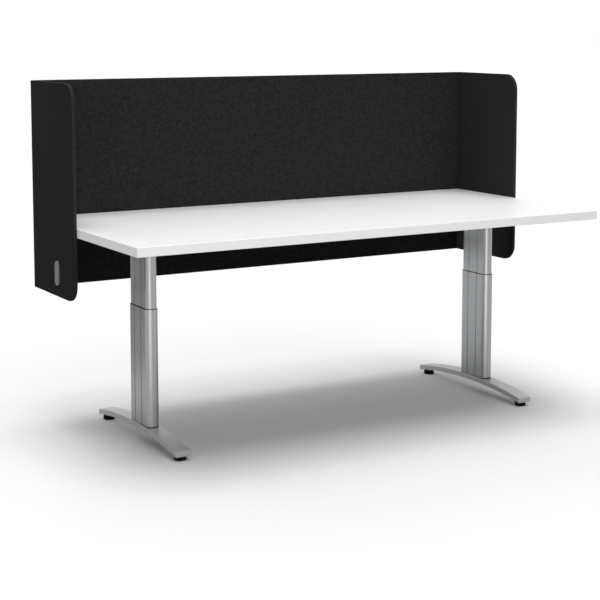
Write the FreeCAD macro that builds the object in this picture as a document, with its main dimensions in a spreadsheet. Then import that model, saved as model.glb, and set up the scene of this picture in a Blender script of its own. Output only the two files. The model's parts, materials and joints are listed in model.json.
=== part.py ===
import FreeCAD, Part
import math
import os

import Sketcher
from FreeCAD import Placement, Rotation, Vector

# A study carrel: a height-settable desk on two telescopic columns with a three-sided felt screen.
# X runs along the desk, Y from the reader's side to the back screen, Z up. Millimetres.
# The origin is on the floor under the middle of the whole object.

doc = FreeCAD.newDocument("StudyCarrel")
sheet = doc.addObject("Spreadsheet::Sheet", "Sizes")

SIZES = {
    # desk top
    "top_width": 1800,
    "top_depth": 850,
    "top_thick": 30,
    "top_height": 722,
    "front_y": -431,
    "band_thick": 2,
    "band_edge": 0.9,
    "laminate_thick": 0.8,
    # felt screen
    "felt_thick": 12,
    "screen_low": 475,
    "screen_high": 1197,
    "wing_length": 380,
    "wing_round": 60,
    "dowel_radius": 2.5,
    "dowel_in_wing": 8,
    "dowel_in_back": 22,
    "tag_width": 34,
    "tag_height": 84,
    "tag_thick": 5,
    "tag_y": 202,
    "tag_z": 555,
    "tag_edge": 1.5,
    # columns
    "column_x": 690,
    "column_y": -3.2,
    "lower_width": 46,
    "lower_depth": 154,
    "lower_corner": 21,
    "lower_wall": 2.55,
    "lower_low": 61,
    "lower_high": 455.3,
    "upper_width": 40,
    "upper_depth": 148,
    "upper_corner": 18,
    "upper_wall": 2.5,
    "upper_low": 192,
    "groove_from_centre": 25.5,
    "groove_width": 4,
    "groove_depth": 1.5,
    "port_x": 13,
    "port_y": 50,
    "port_radius": 5,
    # slides in the columns
    "collar_rim": 1.7,
    "collar_set_back": 0.5,
    "collar_skirt": 14,
    "skirt_recess": 1,
    "skirt_free_half": 45,
    "slide_gap": 0.1,
    "shoe_height": 10,
    "shoe_plug_height": 20,
    "shoe_plug_depth": 80,
    "base_block_height": 12,
    # clamps on the backs of the columns
    "clamp_z": 419,
    "clamp_block_width": 12,
    "clamp_block_height": 56,
    "clamp_block_thick": 7,
    "clamp_shoe_radius": 3.9,
    "clamp_hole_radius": 4,
    "clamp_shoe_thick": 3.4,
    "clamp_recess": 1.7,
    "clamp_screw_radius": 2.95,
    "clamp_thread_radius": 3,
    "clamp_screw_out": 0.5,
    # feet
    "foot_width": 54,
    "foot_length": 632,
    "foot_thick": 18,
    "foot_radius": 1865,
    "foot_crown": 60,
    "foot_y": 16.5,
    "foot_edge": 0.8,
    "foot_bolt_y": 50,
    # levellers
    "leveller_y": 290.5,
    "pad_radius": 19.7,
    "pad_height": 14,
    "pad_dish_radius": 10.6,
    "pad_dish_floor": 11.5,
    "socket_radius": 8.1,
    "socket_low": 6,
    "socket_high": 9.2,
    "stud_radius": 4.95,
    "thread_radius": 5,
    "stud_top": 32.5,
    "thread_top": 35,
    "collar_hex": 9.8,
    "collar_hex_height": 3.4,
    # frame under the top
    "arm_width": 60,
    "arm_length": 490,
    "arm_flat_length": 220,
    "arm_depth": 44,
    "arm_tip_depth": 20,
    "steel_thick": 3,
    "head_plate_width": 50,
    "head_plate_depth": 156,
    "head_plate_thick": 6,
    "rail_height": 40,
    "rail_width": 25,
    "rail_wall": 2,
    "rail_drop": 1,
    "rail_from_column": 75,
    "end_plate_width": 60,
    "end_plate_thick": 4,
    "rail_bolt_from_rail": 21,
    # brackets between the top and the screen
    "bracket_width": 60,
    "bracket_reach": 40,
    "bracket_drop": 100,
    "rear_bracket_x": 560,
    "wing_bracket_y": 200,
}


class Size:
    """A length that knows its number and the sheet formula that gives it."""

    def __init__(self, number, formula):
        self.number = float(number)
        self.formula = formula

    def __add__(self, other):
        other = as_size(other)
        return Size(self.number + other.number, f"({self.formula} + {other.formula})")

    def __sub__(self, other):
        other = as_size(other)
        return Size(self.number - other.number, f"({self.formula} - {other.formula})")

    def __mul__(self, factor):
        return Size(self.number * factor, f"({self.formula} * {factor})")

    def __truediv__(self, divisor):
        return Size(self.number / divisor, f"({self.formula} / {divisor})")

    def __neg__(self):
        return Size(-self.number, f"(0 - {self.formula})")

    __rmul__ = __mul__
    __radd__ = __add__


def as_size(value):
    return value if isinstance(value, Size) else Size(value, f"({float(value)})")


def fill_sheet():
    """Writes the driving dimensions into the sheet and returns them as sizes."""
    sizes = {}
    for row, (alias, number) in enumerate(SIZES.items(), start=1):
        sheet.set(f"A{row}", alias)
        sheet.set(f"B{row}", str(number))
        sheet.setAlias(f"B{row}", alias)
        sizes[alias] = Size(number, f"Sizes.{alias}")
    doc.recompute()
    return type("Sizes", (), sizes)


s = fill_sheet()
nodes = {}

ALONG_X = Rotation(Vector(0, 1, 0), 90)
ALONG_Y = Rotation(Vector(1, 0, 0), -90)
ALONG_Z = Rotation()
BACK_Y = Rotation(Vector(1, 0, 0), 90)
DOWN_Z = Rotation(Vector(1, 0, 0), 180)


# ---- general helpers -------------------------------------------------------------------------


def bind(item, prop, value):
    item.setExpression(prop, as_size(value).formula)


def place(item, x, y, z, turn=ALONG_Z):
    item.Placement = Placement(Vector(0, 0, 0), turn)
    for axis, value in (("x", x), ("y", y), ("z", z)):
        bind(item, f"Placement.Base.{axis}", value)
    return item


def keep(item, name):
    """Names a finished sub-part, which becomes a node of its own."""
    item.Label = name
    nodes[name] = item
    return item


def box(name, size, corner):
    item = doc.addObject("Part::Box", name)
    for prop, value in zip(("Length", "Width", "Height"), size):
        bind(item, prop, value)
    return place(item, *corner)


def rod(name, radius, length, start, turn=ALONG_Z):
    item = doc.addObject("Part::Cylinder", name)
    bind(item, "Radius", radius)
    bind(item, "Height", length)
    return place(item, *start, turn)


def cone(name, radius_1, radius_2, length, start, turn=ALONG_Z):
    item = doc.addObject("Part::Cone", name)
    bind(item, "Radius1", radius_1)
    bind(item, "Radius2", radius_2)
    bind(item, "Height", length)
    return place(item, *start, turn)


def hexagon(name, corner_radius, length, start, turn=ALONG_Z):
    item = doc.addObject("Part::Prism", name)
    item.Polygon = 6
    bind(item, "Circumradius", corner_radius)
    bind(item, "Height", length)
    return place(item, *start, turn)


def group(name, items):
    item = doc.addObject("Part::Compound", name)
    item.Links = items
    return item


def cut(name, base, tools):
    item = doc.addObject("Part::Cut", name)
    item.Base = base
    item.Tool = tools[0] if len(tools) == 1 else group(f"{name}_tools", tools)
    return item


def fuse(name, items):
    item = doc.addObject("Part::MultiFuse", name)
    item.Shapes = items
    item.Refine = True
    return item


def new_body(name):
    return doc.addObject("PartDesign::Body", name)


def new_sketch(body, name, role="XY_Plane"):
    sketch = body.newObject("Sketcher::SketchObject", name)
    plane = next(feature for feature in body.Origin.OriginFeatures if feature.Role == role)
    sketch.AttachmentSupport = [(plane, "")]
    sketch.MapMode = "FlatFace"
    return sketch


def constrain(sketch, kind, items, value, label):
    index = sketch.addConstraint(Sketcher.Constraint(kind, *items, as_size(value).number))
    sketch.renameConstraint(index, label)
    bind(sketch, f"Constraints.{label}", value)


def add_point(sketch, geometry, vertex, x, y, label):
    """Ties one vertex of the sketch to its two coordinates."""
    constrain(sketch, "DistanceX", (-1, 1, geometry, vertex), x, f"{label}_x")
    constrain(sketch, "DistanceY", (-1, 1, geometry, vertex), y, f"{label}_y")


def add_polygon(sketch, points, label):
    corners = [Vector(as_size(x).number, as_size(y).number, 0) for x, y in points]
    first = sketch.GeometryCount
    count = len(corners)
    for index in range(count):
        sketch.addGeometry(Part.LineSegment(corners[index], corners[(index + 1) % count]), False)
    for index in range(count):
        following = first + (index + 1) % count
        sketch.addConstraint(Sketcher.Constraint("Coincident", first + index, 2, following, 1))
    for index, (x, y) in enumerate(points):
        add_point(sketch, first + index, 1, x, y, f"{label}{index}")


def add_circle(sketch, x, y, radius, label):
    centre = Vector(as_size(x).number, as_size(y).number, 0)
    index = sketch.addGeometry(Part.Circle(centre, Vector(0, 0, 1), as_size(radius).number), False)
    add_point(sketch, index, 3, x, y, label)
    constrain(sketch, "Radius", (index,), radius, f"{label}_r")


def add_rounded_rectangle(sketch, width, depth, radius, label):
    """A rectangle with round corners, centred on the sketch's origin."""
    half_x = as_size(width).number / 2
    half_y = as_size(depth).number / 2
    round_r = as_size(radius).number
    in_x = half_x - round_r
    in_y = half_y - round_r
    first = sketch.GeometryCount
    sides = [
        (Vector(-in_x, -half_y, 0), Vector(in_x, -half_y, 0)),
        (Vector(half_x, -in_y, 0), Vector(half_x, in_y, 0)),
        (Vector(in_x, half_y, 0), Vector(-in_x, half_y, 0)),
        (Vector(-half_x, in_y, 0), Vector(-half_x, -in_y, 0)),
    ]
    centres = [(in_x, -in_y, -90), (in_x, in_y, 0), (-in_x, in_y, 90), (-in_x, -in_y, 180)]
    for start, end in sides:
        sketch.addGeometry(Part.LineSegment(start, end), False)
    for x, y, angle in centres:
        circle = Part.Circle(Vector(x, y, 0), Vector(0, 0, 1), round_r)
        arc = Part.ArcOfCircle(circle, math.radians(angle), math.radians(angle + 90))
        sketch.addGeometry(arc, False)
    for index in range(4):
        line, arc, following = first + index, first + 4 + index, first + (index + 1) % 4
        sketch.addConstraint(Sketcher.Constraint("Tangent", line, 2, arc, 1))
        sketch.addConstraint(Sketcher.Constraint("Tangent", arc, 2, following, 1))
    for index, kind in enumerate(("Horizontal", "Vertical", "Horizontal", "Vertical")):
        sketch.addConstraint(Sketcher.Constraint(kind, first + index))
    for index in range(3):
        sketch.addConstraint(Sketcher.Constraint("Equal", first + 4 + index, first + 5 + index))
    sketch.addConstraint(Sketcher.Constraint("Symmetric", first + 4, 3, first + 6, 3, -1, 1))
    constrain(sketch, "Radius", (first + 4,), radius, f"{label}_corner")
    constrain(sketch, "DistanceX", (first + 3, 1, first + 1, 1), width, f"{label}_width")
    constrain(sketch, "DistanceY", (first, 1, first + 2, 1), depth, f"{label}_depth")


def add_pad(body, sketch, length, name):
    pad = body.newObject("PartDesign::Pad", name)
    pad.Profile = sketch
    bind(pad, "Length", length)
    doc.recompute()
    return pad


def add_pocket(body, sketch, length, name):
    """Cuts from the sketch's plane towards the positive side, and checks that something went."""
    before = body.Shape.Volume
    pocket = body.newObject("PartDesign::Pocket", name)
    pocket.Profile = sketch
    pocket.Reversed = True
    bind(pocket, "Length", length)
    doc.recompute()
    if body.Shape.Volume > before - 1:
        raise RuntimeError(f"{name} removes nothing")
    return pocket


def add_fillet(body, base, edges, radius, name):
    fillet = body.newObject("PartDesign::Fillet", name)
    fillet.Base = (base, edges)
    bind(fillet, "Radius", radius)
    doc.recompute()
    return fillet


def edges_where(feature, test):
    return [f"Edge{i}" for i, edge in enumerate(feature.Shape.Edges, start=1) if test(edge)]


def rounded_bar(name, width, depth, radius, height):
    """An upright bar with a round-cornered section, its foot at the origin of its own frame."""
    body = new_body(name)
    sketch = new_sketch(body, f"{name}_section")
    add_rounded_rectangle(sketch, width, depth, radius, "outer")
    add_pad(body, sketch, height, f"{name}_pad")
    return body


def spin(name, points):
    """A solid turned about its own Z axis from half an outline, given as radius and height."""
    body = new_body(name)
    sketch = new_sketch(body, f"{name}_outline", "XZ_Plane")
    add_polygon(sketch, points, "p")
    turned = body.newObject("PartDesign::Revolution", f"{name}_turned")
    turned.Profile = sketch
    turned.ReferenceAxis = (sketch, ["V_Axis"])
    turned.Angle = 360
    doc.recompute()
    return body


# ---- fasteners -------------------------------------------------------------------------------


def wood_screw(name, start, turn, plate=s.steel_thick, length=7, shank=2.2, head=4.2, head_height=2.2):
    """A pan-head screw whose head sits on a plate at the start point and whose shank runs on."""
    parts = [
        rod(f"{name}_head", head, head_height, (0, 0, -as_size(head_height)), ALONG_Z),
        rod(f"{name}_shank", shank, plate + length - 2, (0, 0, 0)),
        cone(f"{name}_tip", shank, 0.4, 2, (0, 0, plate + length - 2)),
    ]
    solid = cut(
        f"{name}_cross",
        fuse(f"{name}_body", parts),
        [
            box(f"{name}_slot_a", (4.4, 1, 1.2), (-2.2, -0.5, -as_size(head_height))),
            box(f"{name}_slot_b", (1, 4.4, 1.2), (-0.5, -2.2, -as_size(head_height))),
        ],
    )
    return place(solid, *start, turn)


def cap_screw(name, start, turn, head, head_height, shank, length, key):
    """A socket screw: its head lies behind the start point and its shank runs on from there."""
    height = as_size(head_height)
    body = fuse(
        f"{name}_body",
        [
            rod(f"{name}_head", head, height, (0, 0, -height)),
            rod(f"{name}_shank", shank, length, (0, 0, 0)),
        ],
    )
    socket = hexagon(f"{name}_key", key, height * 0.6, (0, 0, -height))
    return place(cut(f"{name}_whole", body, [socket]), *start, turn)


def countersunk_screw(name, start, turn, head, head_height, shank, length, key):
    """A flat-head socket screw whose head is flush with the start point."""
    height = as_size(head_height)
    body = fuse(
        f"{name}_body",
        [
            cone(f"{name}_head", head, shank, height, (0, 0, 0)),
            rod(f"{name}_shank", shank, length, (0, 0, 0)),
        ],
    )
    socket = hexagon(f"{name}_key", key, height * 0.7, (0, 0, 0))
    return place(cut(f"{name}_whole", body, [socket]), *start, turn)


def hex_bolt_and_nut(name, start, turn, shank, length, grip, head_height, nut_height):
    """A hexagon bolt with its head behind the start point and its nut beyond the grip."""
    bolt = fuse(
        f"{name}_bolt",
        [
            hexagon(f"{name}_head", 7.5, head_height, (0, 0, -as_size(head_height))),
            rod(f"{name}_shank", shank, length, (0, 0, 0)),
        ],
    )
    nut = cut(
        f"{name}_nut",
        hexagon(f"{name}_nut_blank", 7.5, nut_height, (0, 0, grip)),
        [rod(f"{name}_nut_bore", shank + 0.05, as_size(nut_height) + 2, (0, 0, grip - 1))],
    )
    return place(group(name, [bolt, nut]), *start, turn)


def shifted(start, turn, distance):
    """The point a distance further along the direction that a turn gives."""
    along = turn.multVec(Vector(0, 0, 1))
    return tuple(as_size(value) + as_size(distance) * round(step) for value, step in zip(start, along))


def bore(name, radius, start, turn, length, lead=1):
    """A cutting rod that begins a little before the start point."""
    return rod(name, radius, as_size(length) + lead, shifted(start, turn, -lead), turn)


# ---- shared places ---------------------------------------------------------------------------

BACK_X = Rotation(Vector(0, 1, 0), -90)
top_under = s.top_height - s.top_thick
back_y = s.front_y + s.top_depth
half_top = s.top_width / 2
web_under = top_under - s.steel_thick
column_top = web_under - s.head_plate_thick
cavity_width = s.lower_width - s.lower_wall * 2
cavity_depth = s.lower_depth - s.lower_wall * 2
cavity_corner = s.lower_corner - s.lower_wall
column_back = s.column_y + s.lower_depth / 2
SIDES = (("left", -1), ("right", 1))
CORNERS = [(x, y) for x in (-1, 1) for y in (-1, 1)]


# ---- desk top --------------------------------------------------------------------------------


def arm_screw_spots():
    """Two screws near each end of each support arm."""
    spots = []
    for _, side in SIDES:
        for reach in (-225, -130, 130, 225):
            spots.append(((s.column_x * side, s.column_y + reach, web_under), ALONG_Z))
    return spots


def bracket_list():
    """Name, point where the bench meets the screen, and heading of every screen bracket."""
    return [
        ("rear_bracket_left", (-s.rear_bracket_x, back_y), 90),
        ("rear_bracket_centre", (as_size(0), back_y), 90),
        ("rear_bracket_right", (s.rear_bracket_x, back_y), 90),
        ("left_wing_bracket", (-half_top, s.wing_bracket_y), 180),
        ("right_wing_bracket", (half_top, s.wing_bracket_y), 0),
    ]


def bracket_spots(point, heading):
    """Two spots that hold a bracket to the top and two that hold it to the felt."""
    angle = math.radians(heading)
    out_x, out_y = round(math.cos(angle)), round(math.sin(angle))
    into_felt = {0: ALONG_X, 90: ALONG_Y, 180: BACK_X}[heading]
    x, y = point
    top_spots = []
    for side in (-18, 18):
        spot_x = x - as_size(25) * out_x + side * abs(out_y)
        spot_y = y - as_size(25) * out_y + side * abs(out_x)
        top_spots.append(((spot_x, spot_y, web_under), ALONG_Z))
    felt_spots = []
    for drop in (45, 80):
        spot = (x - s.steel_thick * out_x, y - s.steel_thick * out_y, top_under - drop)
        felt_spots.append((spot, into_felt))
    return top_spots, felt_spots


def make_band(name, length, start, heading):
    """A strip of edging along one side of the top, eased along its outer edges."""
    body = new_body(f"{name}_band_body")
    sketch = new_sketch(body, f"{name}_band_section")
    add_polygon(sketch, [(0, 0), (length, 0), (length, s.band_thick), (0, s.band_thick)], "p")
    pad = add_pad(body, sketch, s.top_thick, f"{name}_band_pad")
    outer = edges_where(pad, lambda e: e.BoundBox.YMax < 0.01 and e.BoundBox.XLength > 10)
    add_fillet(body, pad, outer, s.band_edge, f"{name}_band_easing")
    place(body, *start, top_under, Rotation(Vector(0, 0, 1), heading))
    keep(body, f"{name}_edge_band")


def make_desktop():
    inner_x = s.top_width - s.band_thick * 2
    inner_y = s.top_depth - s.band_thick * 2
    corner_x = -half_top + s.band_thick
    corner_y = s.front_y + s.band_thick
    core_low = top_under + s.laminate_thick
    top_spots = []
    for _, point, heading in bracket_list():
        top_spots += bracket_spots(point, heading)[0]
    pilots = []
    for index, (start, turn) in enumerate(arm_screw_spots()):
        pilots.append(bore(f"arm_pilot_{index}", 2.6, start, turn, s.steel_thick + 16.5))
    for index, (start, turn) in enumerate(top_spots):
        pilots.append(bore(f"bracket_pilot_{index}", 2.3, start, turn, s.steel_thick + 7.5))
    core_height = s.top_thick - s.laminate_thick * 2
    core = box("core_blank", (inner_x, inner_y, core_height), (corner_x, corner_y, core_low))
    keep(cut("desktop_core_cut", core, pilots), "desktop_core")
    skin_size = (inner_x, inner_y, s.laminate_thick)
    upper_skin = box("upper_skin", skin_size, (corner_x, corner_y, s.top_height - s.laminate_thick))
    keep(upper_skin, "top_laminate")
    lower_skin = box("lower_skin", skin_size, (corner_x, corner_y, top_under))
    keep(cut("lower_skin_cut", lower_skin, pilots), "underside_laminate")
    make_band("front", s.top_width, (-half_top, s.front_y), 0)
    make_band("rear", s.top_width, (half_top, back_y), 180)
    make_band("left", inner_y, (-half_top, back_y - s.band_thick), -90)
    make_band("right", inner_y, (half_top, corner_y), 90)


# ---- felt screen -----------------------------------------------------------------------------


def dowel_heights():
    return (540, 700, 920, 1140)


def make_dowels():
    """Round pegs hidden in the thickness of the felt where the wings meet the back."""
    pegs = []
    length = s.dowel_in_wing + s.dowel_in_back
    middle_y = back_y + s.felt_thick / 2
    for name, side in SIDES:
        start_x = half_top * side - (s.dowel_in_back if side > 0 else s.dowel_in_wing)
        for index, height in enumerate(dowel_heights()):
            start = (start_x, middle_y, as_size(height))
            pegs.append(rod(f"{name}_dowel_{index}", s.dowel_radius, length, start, ALONG_X))
    keep(group("dowels", pegs), "corner_dowels")
    return pegs


def make_screen(dowels):
    height = s.screen_high - s.screen_low
    rear_pilots = []
    wing_pilots = {-1: [], 1: []}
    for name, point, heading in bracket_list():
        for index, (start, turn) in enumerate(bracket_spots(point, heading)[1]):
            pilot = bore(f"{name}_felt_{index}", 2.3, start, turn, s.steel_thick + 7.5)
            if heading == 90:
                rear_pilots.append(pilot)
            else:
                wing_pilots[-1 if heading == 180 else 1].append(pilot)
    back = box("back_blank", (s.top_width, s.felt_thick, height), (-half_top, back_y, s.screen_low))
    keep(cut("back_cut", back, dowels + rear_pilots), "back_screen")
    for name, side in SIDES:
        body = new_body(f"{name}_wing_body")
        sketch = new_sketch(body, f"{name}_wing_outline", "YZ_Plane")
        rear_y = back_y + s.felt_thick
        front_y = rear_y - s.wing_length
        corners = [
            (front_y, s.screen_low),
            (rear_y, s.screen_low),
            (rear_y, s.screen_high),
            (front_y, s.screen_high),
        ]
        add_polygon(sketch, corners, "p")
        pad = add_pad(body, sketch, s.felt_thick, f"{name}_wing_pad")
        front = edges_where(pad, lambda e: e.BoundBox.YMax < front_y.number + 1 and e.BoundBox.XLength > 5)
        add_fillet(body, pad, front, s.wing_round, f"{name}_wing_corners")
        inner_x = half_top if side > 0 else -half_top - s.felt_thick
        place(body, inner_x, 0, 0)
        keep(cut(f"{name}_wing_cut", body, dowels + wing_pilots[side]), f"{name}_wing")


def make_tag_plate():
    """A plain pill-shaped plate on the outside of the left wing."""
    bar = rounded_bar("tag_bar", s.tag_width, s.tag_height, s.tag_width / 2 - 0.1, s.tag_thick)
    top = s.tag_thick.number
    rim = edges_where(bar.Tip, lambda e: e.BoundBox.ZMin > top - 0.01)
    add_fillet(bar, bar.Tip, rim, s.tag_edge, "tag_rim")
    facing_left = Rotation(Vector(0, -1, 0), Vector(0, 0, 1), Vector(-1, 0, 0), "ZXY")
    place(bar, -half_top - s.felt_thick, s.tag_y, s.tag_z, facing_left)
    keep(bar, "tag_plate")


def make_brackets():
    """Steel angles under the top that carry the felt screen, with their screws."""
    screws = []
    for name, point, heading in bracket_list():
        body = new_body(f"{name}_body")
        sketch = new_sketch(body, f"{name}_profile", "XZ_Plane")
        angle_outline = [
            (0, 0),
            (-s.bracket_reach, 0),
            (-s.bracket_reach, -s.steel_thick),
            (-s.steel_thick, -s.steel_thick),
            (-s.steel_thick, -s.bracket_drop),
            (0, -s.bracket_drop),
        ]
        add_polygon(sketch, angle_outline, "p")
        add_pad(body, sketch, s.bracket_width, f"{name}_pad")
        angle = math.radians(heading)
        x = point[0] - s.bracket_width / 2 * round(math.sin(angle))
        y = point[1] + s.bracket_width / 2 * round(math.cos(angle))
        place(body, x, y, top_under, Rotation(Vector(0, 0, 1), heading))
        top_spots, felt_spots = bracket_spots(point, heading)
        holes = []
        for index, (start, turn) in enumerate(top_spots + felt_spots):
            holes.append(bore(f"{name}_hole_{index}", 2.3, start, turn, s.steel_thick + 1))
            screws.append(wood_screw(f"{name}_screw_{index}", start, turn))
        keep(cut(f"{name}_cut", body, holes), name)
    keep(group("bracket_fixings", screws), "bracket_screws")


# ---- frame under the top ---------------------------------------------------------------------


def port_spots(side, height):
    """The four screw ports of an upper column, at one height."""
    spots = []
    for x, y in CORNERS:
        spots.append((s.column_x * side + s.port_x * x, s.column_y + s.port_y * y, height))
    return spots


def rail_bolt_spots(side):
    """Start points and heading of the four bolts that hold the rails to one arm."""
    flange_x = (s.column_x - s.arm_width / 2 + s.steel_thick) * side
    height = top_under - s.rail_drop - s.rail_height / 2
    spots = []
    for rail in (-1, 1):
        rail_y = s.column_y + s.rail_from_column * rail
        for across in (-1, 1):
            spots.append((flange_x, rail_y + s.rail_bolt_from_rail * across, height))
    return spots, (BACK_X if side > 0 else ALONG_X)


def make_arm(name, side):
    """A pressed channel under the top, deep over the column and shallow at its ends."""
    body = new_body(f"{name}_arm_body")
    sketch = new_sketch(body, f"{name}_arm_profile", "YZ_Plane")
    half = s.arm_length / 2
    flat = s.arm_flat_length / 2
    profile = [
        (-half, 0),
        (-half, -s.arm_tip_depth),
        (-flat, -s.arm_depth),
        (flat, -s.arm_depth),
        (half, -s.arm_tip_depth),
        (half, 0),
    ]
    add_polygon(sketch, profile, "p")
    add_pad(body, sketch, s.arm_width, f"{name}_arm_pad")
    centre_x = s.column_x * side
    place(body, centre_x - s.arm_width / 2, s.column_y, top_under)
    inside = box(
        f"{name}_arm_inside",
        (s.arm_width - s.steel_thick * 2, s.arm_length + 4, s.arm_depth + 4),
        (
            centre_x - s.arm_width / 2 + s.steel_thick,
            s.column_y - half - 2,
            web_under - s.arm_depth - 4,
        ),
    )
    tools = [inside]
    for index, start in enumerate(port_spots(side, top_under)):
        tools.append(bore(f"{name}_arm_port_{index}", 3.1, start, DOWN_Z, 5))
        tools.append(cone(f"{name}_arm_sink_{index}", 5.9, 3.1, 2.8, start, DOWN_Z))
    for index, (start, turn) in enumerate(arm_screw_spots()):
        if start[0].number * side > 0:
            tools.append(bore(f"{name}_arm_hole_{index}", 2.6, start, turn, 5))
    starts, turn = rail_bolt_spots(side)
    for index, start in enumerate(starts):
        tools.append(bore(f"{name}_arm_bolt_hole_{index}", 4.1, start, turn, 5))
    keep(cut(f"{name}_arm_cut", body, tools), f"{name}_support_arm")


def make_rail(name, direction):
    """A rectangular tube with an end plate welded on at each end."""
    centre_y = s.column_y + s.rail_from_column * direction
    end_x = s.column_x - s.arm_width / 2
    low = top_under - s.rail_drop - s.rail_height
    tube_half = end_x - s.end_plate_thick
    outer = box(
        f"{name}_tube",
        (tube_half * 2, s.rail_width, s.rail_height),
        (-tube_half, centre_y - s.rail_width / 2, low),
    )
    inner = box(
        f"{name}_tube_inside",
        (tube_half * 2 + 2, s.rail_width - s.rail_wall * 2, s.rail_height - s.rail_wall * 2),
        (-tube_half - 1, centre_y - s.rail_width / 2 + s.rail_wall, low + s.rail_wall),
    )
    solids = [cut(f"{name}_hollow", outer, [inner])]
    holes = []
    for side_name, side in SIDES:
        plate_x = tube_half if side > 0 else -end_x
        size = (s.end_plate_thick, s.end_plate_width, s.rail_height)
        corner = (plate_x, centre_y - s.end_plate_width / 2, low)
        solids.append(box(f"{name}_{side_name}_plate", size, corner))
        starts, turn = rail_bolt_spots(side)
        for index, start in enumerate(starts):
            holes.append(bore(f"{name}_{side_name}_hole_{index}", 4.1, start, turn, 10))
    keep(cut(f"{name}_cut", fuse(f"{name}_weldment", solids), holes), name)


def make_frame_fasteners():
    bolts = []
    heads = []
    for name, side in SIDES:
        starts, turn = rail_bolt_spots(side)
        grip = s.steel_thick + s.end_plate_thick
        for index, start in enumerate(starts):
            bolts.append(hex_bolt_and_nut(f"{name}_rail_bolt_{index}", start, turn, 3.95, 17, grip, 5.3, 6.5))
        for index, start in enumerate(port_spots(side, top_under)):
            heads.append(countersunk_screw(f"{name}_head_screw_{index}", start, DOWN_Z, 5.8, 2.8, 2.95, 25, 2.3))
    keep(group("rail_fixings", bolts), "rail_bolts")
    keep(group("head_fixings", heads), "head_screws")
    screws = []
    for index, (start, turn) in enumerate(arm_screw_spots()):
        screws.append(wood_screw(f"arm_screw_{index}", start, turn, length=16, shank=2.5, head=5))
    keep(group("arm_fixings", screws), "arm_screws")


def make_head_plate(name, side):
    plate = box(
        f"{name}_head_blank",
        (s.head_plate_width, s.head_plate_depth, s.head_plate_thick),
        (
            s.column_x * side - s.head_plate_width / 2,
            s.column_y - s.head_plate_depth / 2,
            column_top,
        ),
    )
    holes = []
    for index, start in enumerate(port_spots(side, web_under)):
        holes.append(bore(f"{name}_head_hole_{index}", 3.1, start, DOWN_Z, s.head_plate_thick + 1))
    keep(cut(f"{name}_head_cut", plate, holes), f"{name}_head_plate")


# ---- columns ---------------------------------------------------------------------------------


def add_grooves(body, width, height, name):
    """Two square grooves down each long side of an extruded column."""
    sketch = new_sketch(body, f"{name}_groove_section")
    half = s.groove_width / 2
    for index, (x, y) in enumerate(CORNERS):
        centre = s.groove_from_centre * y
        outside = (width / 2 + 1) * x
        floor = (width / 2 - s.groove_depth) * x
        slot = [
            (outside, centre - half),
            (outside, centre + half),
            (floor, centre + half),
            (floor, centre - half),
        ]
        add_polygon(sketch, slot, f"g{index}_")
    add_pocket(body, sketch, height, f"{name}_grooves")


def make_upper_column(name, side):
    """The inner extrusion, with four screw ports that run its whole length."""
    length = column_top - s.upper_low
    body = new_body(f"{name}_upper_body")
    sketch = new_sketch(body, f"{name}_upper_section")
    wall = s.upper_wall
    add_rounded_rectangle(sketch, s.upper_width, s.upper_depth, s.upper_corner, "outer")
    inside = (s.upper_width - wall * 2, s.upper_depth - wall * 2, s.upper_corner - wall)
    add_rounded_rectangle(sketch, *inside, "inner")
    add_pad(body, sketch, length, f"{name}_upper_pad")
    ports = new_sketch(body, f"{name}_ports")
    bores = new_sketch(body, f"{name}_port_bores")
    for index, (x, y) in enumerate(CORNERS):
        add_circle(ports, s.port_x * x, s.port_y * y, s.port_radius, f"port{index}")
        add_circle(bores, s.port_x * x, s.port_y * y, 3, f"bore{index}")
    add_pad(body, ports, length, f"{name}_port_pad")
    add_pocket(body, bores, length, f"{name}_port_pocket")
    add_grooves(body, s.upper_width, length, f"{name}_upper")
    place(body, s.column_x * side, s.column_y, s.upper_low)
    keep(body, f"{name}_upper_column")


def make_end_shoe(name, side):
    """A plastic foot in the lower end of the inner extrusion that runs in the outer one."""
    x = s.column_x * side
    low = s.upper_low - s.shoe_height
    fit = s.slide_gap * 2
    flange = rounded_bar(f"{name}_shoe_flange", cavity_width - fit, cavity_depth - fit, cavity_corner - s.slide_gap, s.shoe_height)
    place(flange, x, s.column_y, low)
    plug_width = s.upper_width - s.upper_wall * 2 - 0.4
    plug_corner = (x - plug_width / 2, s.column_y - s.shoe_plug_depth / 2, low)
    plug = box(f"{name}_shoe_plug", (plug_width, s.shoe_plug_depth, s.shoe_height + s.shoe_plug_height), plug_corner)
    hollow = box(
        f"{name}_shoe_hollow",
        (plug_width - 6, s.shoe_plug_depth - 6, s.shoe_plug_height),
        (x - plug_width / 2 + 3, s.column_y - s.shoe_plug_depth / 2 + 3, s.upper_low + 1),
    )
    tools = [hollow]
    screws = []
    for index, (port_x, port_y, height) in enumerate(port_spots(side, low + 4)):
        start = (port_x, port_y, height)
        tools.append(bore(f"{name}_shoe_hole_{index}", 3.1, start, ALONG_Z, 8))
        tools.append(bore(f"{name}_shoe_sink_{index}", 5.4, (port_x, port_y, low), ALONG_Z, 4))
        screws.append(cap_screw(f"{name}_shoe_screw_{index}", start, ALONG_Z, 5, 3.4, 2.95, 20, 2.3))
    whole = fuse(f"{name}_shoe_whole", [flange, plug])
    keep(cut(f"{name}_shoe_cut", whole, tools), f"{name}_end_shoe")
    return screws


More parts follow.
